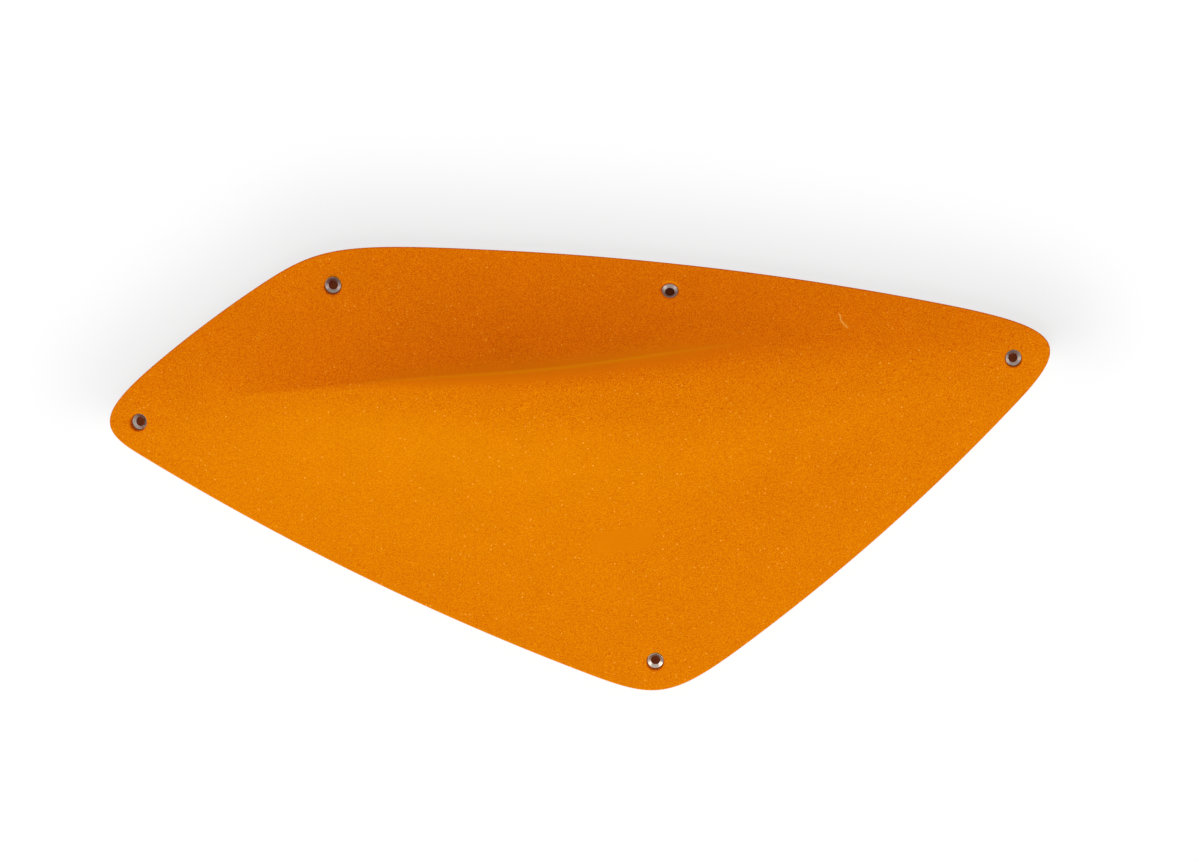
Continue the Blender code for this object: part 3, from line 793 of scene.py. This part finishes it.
def sanded_gelcoat():
    """Polyester gelcoat sprayed into a mould whose face was sanded with quartz grit.

    To the eye it is matt and grainy, with a few cream grains of sand near the surface. Shade is
    painted into its colour: deeper and redder where it turns from the lamp, as in the scoop and
    between the grains, and yellower where it faces the lamp. Light glances from grain to grain and
    comes back orange.
    """
    made, tree, shader = new_material("sanded_gelcoat")
    place = add(tree, "ShaderNodeTexCoord").outputs["Object"]
    bare = add(tree, "ShaderNodeAttribute", {"attribute_name": "bare_of_sand"}).outputs["Fac"]
    thin_and_lit = add(tree, "ShaderNodeAttribute", {"attribute_name": "thin_coat_and_lip_light"}).outputs["Fac"]
    sanded = add(tree, "ShaderNodeMath", {"operation": "SUBTRACT", 0: 1.0}, {1: bare})

    # Grains of sand under the gelcoat. Real grit is 0.3 to 0.5 mm: it is drawn coarser so that it shows.
    strewn = {"Scale": per(GRIT), "Detail": 2.0, "Roughness": 0.6}
    grit = add(tree, "ShaderNodeTexNoise", strewn, {"Vector": place})
    bump = add(tree, "ShaderNodeBump", {"Distance": GRIT_RELIEF}, {"Strength": sanded, "Height": grit})

    # Painted shade: deeper and redder where the surface turns from the lamp, yellower where it faces it
    square_on = add(tree, "ShaderNodeNewGeometry").outputs["Normal"]
    facing = add(tree, "ShaderNodeVectorMath", {"operation": "DOT_PRODUCT", 1: TO_LAMP}, {0: square_on})
    lamp_shade_tint = add(tree, "ShaderNodeValToRGB", {}, {"Fac": facing})
    set_stops(
        lamp_shade_tint,
        [(0.0, "#E86605"), (0.24, "#E86C05"), (0.42, "#EA7504"), (0.707, "#E17903"), (1.0, "#D87E02")],
    )

    # Slow clouds from the spray gun
    cloud = add(tree, "ShaderNodeTexNoise", {"Scale": per(CLOUD), "Detail": 2.0}, {"Vector": place})
    clouds = add(
        tree,
        "ShaderNodeMapRange",
        {"From Min": 0.3, "From Max": 0.7, "To Min": 1 - CLOUD_SHADE, "To Max": 1 + CLOUD_SHADE},
        {"Value": cloud},
    )
    clouded = add(tree, "ShaderNodeHueSaturation", {}, {"Value": clouds, "Color": lamp_shade_tint})

    # Painted shade between the grains, which takes twice as much green as red away, and which is painted
    # least where the light falls square on
    grain_shade_by_lamp = add(
        tree,
        "ShaderNodeMapRange",
        {"From Min": GRIT_FADES[0], "From Max": GRIT_FADES[1], "To Min": 1.0, "To Max": GRIT_LEFT},
        {"Value": facing},
    )
    grain = add(tree, "ShaderNodeMath", {"operation": "SUBTRACT", 1: 0.5}, {0: grit})
    for strength in (sanded, grain_shade_by_lamp):
        grain = add(tree, "ShaderNodeMath", {"operation": "MULTIPLY"}, {0: grain, 1: strength})
    grain_shading = {"operation": "MULTIPLY_ADD", 1: GRIT_SHADE, 2: (1, 1, 1)}
    shade = add(tree, "ShaderNodeVectorMath", grain_shading, {0: grain})
    grained = add(tree, "ShaderNodeVectorMath", {"operation": "MULTIPLY"}, {0: clouded, 1: shade})

    # Cream grains that show through
    cells = add(tree, "ShaderNodeTexVoronoi", {"Scale": per(SPECK_SPACING)}, {"Vector": place})
    reach = SPECK_RADIUS / SPECK_SPACING
    speck = add(
        tree,
        "ShaderNodeMapRange",
        {"From Min": reach, "From Max": SPECK_CORE * reach},
        {"Value": cells.outputs["Distance"]},
    )
    dice = add(tree, "ShaderNodeSeparateColor", {}, {"Color": cells.outputs["Color"]})
    kept = {"operation": "GREATER_THAN", 1: SPECKS_DROPPED}
    chosen = add(tree, "ShaderNodeMath", kept, {0: dice.outputs["Red"]})
    paleness = add(
        tree, "ShaderNodeMapRange", {"To Min": FAINTEST_SPECK}, {"Value": dice.outputs["Green"]}
    )
    for share in (chosen, paleness, sanded):
        speck = add(tree, "ShaderNodeMath", {"operation": "MULTIPLY"}, {0: speck, 1: share})

    # Yellower along the lip joint, where the gelcoat is thin and painted light lies, and paler along the
    # scuff and over the cream grains
    thin_and_lit_share = add(tree, "ShaderNodeMath", {"operation": "MULTIPLY", 1: THIN_AND_LIT_TINT}, {0: thin_and_lit})
    scuff = scuff_share(tree, place)
    surface = grained
    for tint, share in (("#EA8404", thin_and_lit_share), ("#FFA840", scuff), ("#FFAC3A", speck)):
        laid_over = {"data_type": "RGBA", "B": colour(tint)}
        surface = add(tree, "ShaderNodeMix", laid_over, {"Factor": share, "A": surface})
    roughness = add(tree, "ShaderNodeMapRange", {"To Min": 0.85, "To Max": 0.7}, {"Value": bare})
    glance = {"IOR": GELCOAT_IOR, "Specular IOR Level": 0.03, "Specular Tint": colour(GELCOAT_GLANCE)}
    set_up(tree, shader, glance, {"Base Color": surface, "Roughness": roughness, "Normal": bump})
    return made


def moulded_gelcoat():
    """The same gelcoat in the pockets and bores, smooth from steel pins in the mould."""
    made, tree, shader = new_material("moulded_gelcoat")
    place = add(tree, "ShaderNodeTexCoord").outputs["Object"]
    streak = add(tree, "ShaderNodeTexNoise", {"Scale": per(STREAK), "Detail": 3.0}, {"Vector": place})
    tone = add(tree, "ShaderNodeValToRGB", {}, {"Fac": streak})
    set_stops(tone, [(0.35, "#D85E06"), (0.65, "#E46A06")])
    glance = {"IOR": GELCOAT_IOR, "Specular IOR Level": 0.1, "Specular Tint": colour(GELCOAT_GLANCE)}
    set_up(tree, shader, {"Roughness": 0.55, **glance}, {"Base Color": tone})
    return made


# The glass mat. A strand, or a bundle of them, is long, narrow and flat.
STRAND_SIZE = (45 * MM, 1.6 * MM, 8 * MM)
STRAND_TURNS = (0.3, 1.2, 2.0, 2.8)
STRAND_EDGE = (0.56, 0.66)
STRAND_RELIEF = 0.2 * MM
RESIN_POOL = 18 * MM
RESIN_IOR = 1.55


def hand_laid_laminate():
    """Chopped strand glass mat wetted out by brush: amber resin over the orange, with paler strands."""
    made, tree, shader = new_material("hand_laid_laminate")
    place = add(tree, "ShaderNodeTexCoord").outputs["Object"]
    strands = None
    for turn in STRAND_TURNS:
        turned_by = {"rotation_type": "Z_AXIS", "Angle": turn}
        laid = add(tree, "ShaderNodeVectorRotate", turned_by, {"Vector": place})
        drawn_out = {"operation": "MULTIPLY", 1: [per(size) for size in STRAND_SIZE]}
        drawn = add(tree, "ShaderNodeVectorMath", drawn_out, {0: laid})
        wavy = {"Scale": 1.0, "Detail": 2.0, "Distortion": 0.4}
        mat = add(tree, "ShaderNodeTexNoise", wavy, {"Vector": drawn})
        cut_off = {"From Min": STRAND_EDGE[0], "From Max": STRAND_EDGE[1]}
        layer = add(tree, "ShaderNodeMapRange", cut_off, {"Value": mat})
        if strands is not None:
            layer = add(tree, "ShaderNodeMath", {"operation": "MAXIMUM"}, {0: strands, 1: layer})
        strands = layer
    pool = add(tree, "ShaderNodeTexNoise", {"Scale": per(RESIN_POOL), "Detail": 3.0}, {"Vector": place})
    resin = add(tree, "ShaderNodeValToRGB", {}, {"Fac": pool})
    set_stops(resin, [(0.3, "#B8641C"), (0.7, "#CC7A26")])
    glass = {"data_type": "RGBA", "B": colour("#DDA05A")}
    wetted = add(tree, "ShaderNodeMix", glass, {"Factor": strands, "A": resin})
    shine = add(tree, "ShaderNodeMapRange", {"To Min": 0.28, "To Max": 0.45}, {"Value": strands})
    bump = add(tree, "ShaderNodeBump", {"Strength": 0.7, "Distance": STRAND_RELIEF}, {"Height": strands})
    set_up(tree, shader, {"IOR": RESIN_IOR}, {"Base Color": wetted, "Roughness": shine, "Normal": bump})
    return made


PLATING_MOTTLE = 1.4 * MM
TARNISH_DULLS = 0.15


def plated_steel():
    """Mild steel, turned on a lathe and zinc plated: a warm grey half gloss, darker with tarnish."""
    made, tree, shader = new_material("zinc_plated_steel")
    place = add(tree, "ShaderNodeTexCoord").outputs["Object"]
    mottle = {"Scale": per(PLATING_MOTTLE), "Detail": 3.0}
    plating = add(tree, "ShaderNodeTexNoise", mottle, {"Vector": place})
    tone = add(tree, "ShaderNodeValToRGB", {}, {"Fac": plating})
    set_stops(tone, [(0.35, "#B4A699"), (0.65, "#D2C5B8")])
    tarnish = add(tree, "ShaderNodeAttribute", {"attribute_name": "tarnish"}).outputs["Fac"]
    oxide = {"data_type": "RGBA", "B": colour("#80706C")}
    dulled = add(tree, "ShaderNodeMix", oxide, {"Factor": tarnish, "A": tone})
    shine = add(tree, "ShaderNodeMapRange", {"To Min": 0.22, "To Max": 0.38}, {"Value": plating})
    roughness = add(
        tree, "ShaderNodeMath", {"operation": "MULTIPLY_ADD", 1: TARNISH_DULLS}, {0: tarnish, 2: shine}
    )
    set_up(tree, shader, {"Metallic": 1.0}, {"Base Color": dulled, "Roughness": roughness})
    return made


# Sizes in the plywood. The glue line is given as a share of a ply.
PLY = 1.333 * MM
GLUE_LINE = 0.06
GRAIN_LENGTH = 40 * MM
GRAIN_WIDTH = 1.1 * MM
GRAIN_RELIEF = 0.15 * MM
BLOCK_TURN = 0.4


def birch_plywood(name, turn_x, turn_z, bore=None):
    """Sawn birch plywood: nine plies with their grain crossed, and thin glue lines between them.

    The turns carry the stack of plies from Z to the way it runs in the piece. The wall of a bore,
    given by its place, is dark red-brown with the gelcoat that ran down into it, and with painted
    reflection of light thrown from the orange gelcoat.
    """
    made, tree, shader = new_material(name)
    place = add(tree, "ShaderNodeTexCoord").outputs["Object"]
    stacked = place
    for axis, turn in (("Z_AXIS", -turn_z), ("X_AXIS", -turn_x)):
        turned_by = {"rotation_type": axis, "Angle": turn}
        stacked = add(tree, "ShaderNodeVectorRotate", turned_by, {"Vector": stacked})
    parts = add(tree, "ShaderNodeSeparateXYZ", {}, {"Vector": stacked})
    ply = add(tree, "ShaderNodeMath", {"operation": "MULTIPLY", 1: per(PLY)}, {0: parts.outputs["Z"]})
    odd = add(tree, "ShaderNodeMath", {"operation": "PINGPONG", 1: 1.0}, {0: ply})
    crossed = add(tree, "ShaderNodeMath", {"operation": "GREATER_THAN", 1: 0.5}, {0: odd})
    glue = add(tree, "ShaderNodeMath", {"operation": "COMPARE", 1: 0.5, 2: GLUE_LINE}, {0: odd})
    along, across = per(GRAIN_LENGTH), per(GRAIN_WIDTH)
    long_grain, cross_grain = (
        add(tree, "ShaderNodeVectorMath", {"operation": "MULTIPLY", 1: scale}, {0: stacked})
        for scale in ((along, across, across), (across, along, across))
    )
    run = add(
        tree, "ShaderNodeMix", {"data_type": "VECTOR"}, {0: crossed, 4: long_grain, 5: cross_grain}
    )
    grain = add(
        tree, "ShaderNodeTexNoise", {"Scale": 1.0, "Detail": 4.0, "Distortion": 0.6}, {"Vector": run}
    )
    wood = add(tree, "ShaderNodeValToRGB", {}, {"Fac": grain})
    set_stops(wood, [(0.3, "#B58A58"), (0.5, "#CBA673"), (0.72, "#DCBE90")])
    surface = add(
        tree,
        "ShaderNodeMix",
        {"data_type": "RGBA", "blend_type": "MULTIPLY", "B": colour("#E3C7A4")},
        {"Factor": crossed, "A": wood},
    )
    tints = [("#7A5735", glue)]
    if bore:
        # Red-brown round the bore: gelcoat that ran down into it, and painted reflection of the orange
        # gelcoat
        flat = add(tree, "ShaderNodeVectorMath", {"operation": "MULTIPLY", 1: (1, 1, 0)}, {0: place})
        away = add(tree, "ShaderNodeVectorMath", {"operation": "DISTANCE", 1: (*bore, 0)}, {0: flat})
        within_stain_and_reflection = {"operation": "LESS_THAN", 1: SCREW_BORE_RADIUS + BORE_STAIN_AND_REFLECTION}
        tints.append(("#E0562A", add(tree, "ShaderNodeMath", within_stain_and_reflection, {0: away})))
    for tint, share in tints:
        laid_over = {"data_type": "RGBA", "B": colour(tint)}
        surface = add(tree, "ShaderNodeMix", laid_over, {"Factor": share, "A": surface})
    bump = add(tree, "ShaderNodeBump", {"Strength": 0.3, "Distance": GRAIN_RELIEF}, {"Height": grain})
    set_up(tree, shader, {"Roughness": 0.75, "IOR": 1.5}, {"Base Color": surface, "Normal": bump})
    return made


def dress_shell():
    """The shell with its five pockets and bores, in place of the plain one."""
    shell = laminated_shell()
    front = sanded_gelcoat()
    for finish in (front, hand_laid_laminate()):
        shell.data.materials.append(finish)
    pin = moulded_gelcoat()
    seats = [insert_frame(screw) for screw in SCREWS]
    cut_away(shell, "pocket_pins", [(pocket_profile(), seat) for seat in seats], pin)
    mouths = [(mouth_profile(), mouth_frame(screw)) for screw in SCREWS]
    cut_away(shell, "mouth_rounds", mouths, front, capped=False)
    bore = [(SCREW_BORE_RADIUS, 0), (SCREW_BORE_RADIUS, -2 * PAST)]
    bores = [
        (bore, Matrix.Translation((screw.x, screw.y, seat.translation.z)))
        for screw, seat in zip(SCREWS, seats)
    ]
    cut_away(shell, "bore_pins", bores, pin)
    smooth(shell)
    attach(shell, "root")
    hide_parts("shell")


def dress_inserts():
    """The five turned inserts."""
    steel = plated_steel()
    for screw in SCREWS:
        mesh = bmesh.new()
        tarnish = mesh.verts.layers.float.new("tarnish")
        turned(mesh, insert_profile(), insert_frame(screw))
        for vert in mesh.verts:
            vert[tarnish] = screw.tarnish
        bmesh.ops.recalc_face_normals(mesh, faces=mesh.faces)
        insert = new_piece(f"turned_insert_{screw.name}", mesh)
        insert.data.materials.append(steel)
        smooth(insert)
        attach(insert, "root")
        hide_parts(f"screw_insert_{screw.name}")


def dress_plywood():
    """Plywood finish on the ribs and blocks, whose plies run as each was sawn."""
    left, right = (screw for screw in SCREWS if screw.name in ("left", "right"))
    spine_turn = math.atan2(right.y - left.y, right.x - left.x)
    on_spine = birch_plywood("birch_plywood_spine", math.pi / 2, spine_turn)
    across = birch_plywood("birch_plywood_cross_ribs", math.pi / 2, math.pi / 2)
    bores = {f"screw_block_{screw.name}": (screw.x, screw.y) for screw in SCREWS}
    for name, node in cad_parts.items():
        if name == "spine_rib":
            node.material_slots[0].material = on_spine
        elif name.startswith("cross_rib"):
            node.material_slots[0].material = across
        elif name in bores:
            finish = birch_plywood(f"birch_plywood_{name}", 0, BLOCK_TURN, bores[name])
            node.material_slots[0].material = finish


# The white table that the hold lies on. It is just clear of the rim, and is seen through from below.
# The photograph's table is lit so evenly that most of its white is a plain level, and a soft shadow
# is painted round the hold, widest above its upper edges.
TABLE_DROP = 0.2 * MM
TABLE_RADIUS = 30.0
TABLE_COLOUR = "#F4F4F4"
TABLE_SEEN = 0.08
TABLE_GLOW = 0.935
DARK_AT_EDGE = 0.165
DARK_REACH = 48 * MM
DARK_FALL = 2.0
DARK_RINGS = (0, 2, 5, 9, 14, 20, 27, 35, 44, 54, 66, 80, 100, 130)
DARK_BELOW = 0.05
DARK_TOWARD = (0.16, 0.98)
DARK_FROM = -0.6
BORE_COVER_RADIUS = 5.5 * MM
BORE_COVER_SIDES = 32
BORE_COVER_GLOW = 0.28
SHADE_MOTTLE = 2 * MM
MATT = {"Roughness": 0.9, "Specular IOR Level": 0.0}


def see_through_from_below(tree, above):
    """Lets a stage face be seen only from above."""
    from_below = add(tree, "ShaderNodeNewGeometry").outputs["Backfacing"]
    clear = add(tree, "ShaderNodeBsdfTransparent")
    both = add(tree, "ShaderNodeMixShader", {}, {"Fac": from_below, 1: above, 2: clear})
    set_up(tree, tree.nodes["Material Output"], {}, {"Surface": both})


def seen_directly(tree):
    """One for what the camera sees, also in shiny metal and through clear things."""
    path = add(tree, "ShaderNodeLightPath").outputs
    seen = path["Is Camera Ray"]
    for other in ("Is Glossy Ray", "Is Transmission Ray"):
        seen = add(tree, "ShaderNodeMath", {"operation": "MAXIMUM"}, {0: seen, 1: path[other]})
    return seen


def white_table():
    """A wide floor round the hold. It is open under the hollow, so that light from below reaches it."""
    mesh = bmesh.new()
    painted_soft_shadow = mesh.verts.layers.float.new("painted_soft_shadow")
    edge = edge_loop(0)
    along = np.roll(edge, -1, axis=0) - np.roll(edge, 1, axis=0)
    outward = np.column_stack([-along[:, 1], along[:, 0]]) / np.linalg.norm(along, axis=1)[:, None]
    loop = [mesh.verts.new((x, y, -TABLE_DROP)) for x, y in edge_loop(BACK_ROUND)]
    # A painted shadow on the table round the hold, darkest at its edge and on the upper side, fading
    # outwards
    for ring in DARK_RINGS:
        places = edge + outward * ring * MM
        loop = belt(mesh, loop, places, np.full(len(places), -TABLE_DROP))
        for vert, toward in zip(loop, outward @ DARK_TOWARD):
            risen = float(smooth_step((toward - DARK_FROM) / (1 - DARK_FROM)))
            side = DARK_BELOW + (1 - DARK_BELOW) * risen
            vert[painted_soft_shadow] = DARK_AT_EDGE * side * math.exp(-((ring * MM / DARK_REACH) ** DARK_FALL))
    around = np.arctan2(edge[:, 1], edge[:, 0])
    far = TABLE_RADIUS * np.column_stack([np.cos(around), np.sin(around)])
    belt(mesh, loop, far, np.full(len(far), -TABLE_DROP))
    mesh.normal_update()
    for face in mesh.faces:
        if face.normal.z < 0:
            face.normal_flip()
    table = new_piece("white_table", mesh)
    table.data.materials.append(table_finish())

    # Under each bore, a red-brown disc of painted shade, which glows with painted light as that bore's
    # light says
    mesh = bmesh.new()
    lit = mesh.verts.layers.float.new("lit")
    for screw in SCREWS:
        at = Matrix.Translation((screw.x, screw.y, -TABLE_DROP))
        cover = bmesh.ops.create_circle(
            mesh, cap_ends=True, segments=BORE_COVER_SIDES, radius=BORE_COVER_RADIUS, matrix=at
        )
        for vert in cover["verts"]:
            vert[lit] = screw.light
    covers = new_piece("painted_shade_under_bores", mesh)
    covers.data.materials.append(cover_finish())


def table_finish():
    """Matt white board, which the eye and shiny metal see as plain white, with a cast and a painted
    shadow.
    """
    made, tree, shader = new_material("matt_white_board")
    seen = seen_directly(tree)
    board = add(
        tree,
        "ShaderNodeMix",
        {"data_type": "RGBA", "A": colour(TABLE_COLOUR), "B": (TABLE_SEEN,) * 3 + (1,)},
        {"Factor": seen},
    )
    set_up(tree, shader, MATT, {"Base Color": board})
    painted_shadow = add(tree, "ShaderNodeAttribute", {"attribute_name": "painted_soft_shadow"}).outputs["Fac"]
    level = add(tree, "ShaderNodeMath", {"operation": "SUBTRACT", 0: TABLE_GLOW}, {1: painted_shadow})
    glow = add(tree, "ShaderNodeMath", {"operation": "MULTIPLY"}, {0: seen, 1: level})
    light = add(tree, "ShaderNodeEmission", {}, {"Strength": glow})
    see_through_from_below(tree, add(tree, "ShaderNodeAddShader", {}, {0: shader, 1: light}))
    return made


def cover_finish():
    """Painted shade behind the bores: dull red-brown, glowing with painted light from the gelcoat."""
    made, tree, shader = new_material("painted_shade_and_glow")
    place = add(tree, "ShaderNodeTexCoord").outputs["Object"]
    shade_mottle = add(tree, "ShaderNodeTexNoise", {"Scale": per(SHADE_MOTTLE)}, {"Vector": place})
    tone = add(tree, "ShaderNodeValToRGB", {}, {"Fac": shade_mottle})
    set_stops(tone, [(0.3, "#793F22"), (0.7, "#8A4D2C")])
    lit = add(tree, "ShaderNodeAttribute", {"attribute_name": "lit"}).outputs["Fac"]
    glow = add(tree, "ShaderNodeMath", {"operation": "MULTIPLY", 1: BORE_COVER_GLOW}, {0: lit})
    set_up(tree, shader, MATT, {"Base Color": tone, "Emission Color": tone, "Emission Strength": glow})
    see_through_from_below(tree, shader)
    return made


# Light. Looking down from level, the room grows lighter until the z of the direction is AMBIENT_FALL.
AMBIENT = 0.52
AMBIENT_BELOW = 1.0
AMBIENT_FALL = -0.2
KEY_LEVEL = 0.68
KEY_SPREAD = math.radians(35)
KEY_AWAY = 3
STRIP_SIZE = (1.2, 1.6)
STRIP_AWAY = 1.6
STRIP_UP = 0.45
STRIP_LEVEL = 2.6


def hung(name, lamp, place):
    """A lamp that hangs at a place and faces the hold."""
    lamp_there = in_scene(name, lamp)
    lamp_there.location = place
    lamp_there.rotation_mode = "QUATERNION"
    lamp_there.rotation_quaternion = place.to_track_quat("Z", "Y")
    return lamp_there


def studio():
    """A white room, lighter under the table, and one large soft lamp below and to the left."""
    world = bpy.data.worlds.new("white_room")
    bpy.context.scene.world = world
    world.use_nodes = True
    tree = world.node_tree
    way = add(tree, "ShaderNodeTexCoord").outputs["Generated"]
    up = add(tree, "ShaderNodeSeparateXYZ", {}, {"Vector": way}).outputs["Z"]
    ambient = add(
        tree,
        "ShaderNodeMapRange",
        {"From Min": 0.0, "From Max": AMBIENT_FALL, "To Min": AMBIENT, "To Max": AMBIENT_BELOW},
        {"Value": up},
    )
    level = add(tree, "ShaderNodeMapRange", {}, {"Value": seen_directly(tree), "To Min": ambient})
    set_up(tree, tree.nodes["Background"], {"Color": (1, 1, 1, 1)}, {"Strength": level})

    lamp = bpy.data.lights.new("softbox", "SUN")
    lamp.energy = KEY_LEVEL * math.pi
    lamp.angle = KEY_SPREAD
    softbox = hung("softbox", lamp, TO_LAMP * KEY_AWAY)
    softbox.visible_glossy = False

    # A strip light on each side, which only the steel picks up
    for side, name in ((-1, "strip_left"), (1, "strip_right")):
        lamp = bpy.data.lights.new(name, "AREA")
        lamp.shape = "RECTANGLE"
        lamp.size, lamp.size_y = STRIP_SIZE
        lamp.energy = STRIP_LEVEL * math.pi * lamp.size * lamp.size_y
        strip = hung(name, lamp, Vector((side * STRIP_AWAY, 0, STRIP_UP)))
        strip.visible_camera = strip.visible_diffuse = False
    bpy.context.scene.view_settings.view_transform = "Standard"


# The photograph was taken square on to the wall. Its middle is over this place, and one of its
# 1196 pixels is 0.6377 mm at the height of the rim.
CAMERA_OVER = (0.0115, 0.0247)
CAMERA_HEIGHT = 1.61
PIXEL_AT_RIM = 0.6377 * MM
IMAGE_WIDTH = 1196
SENSOR_WIDTH = 36.0


def camera():
    seen_by = bpy.data.cameras.new("camera")
    seen_by.sensor_width = SENSOR_WIDTH
    seen_by.lens = SENSOR_WIDTH * (CAMERA_HEIGHT - RIM_HEIGHT) / (PIXEL_AT_RIM * IMAGE_WIDTH)
    stand = in_scene("camera", seen_by)
    stand.location = (*CAMERA_OVER, CAMERA_HEIGHT)
    bpy.context.scene.camera = stand


dress_shell()
dress_inserts()
dress_plywood()
white_table()
studio()
camera()
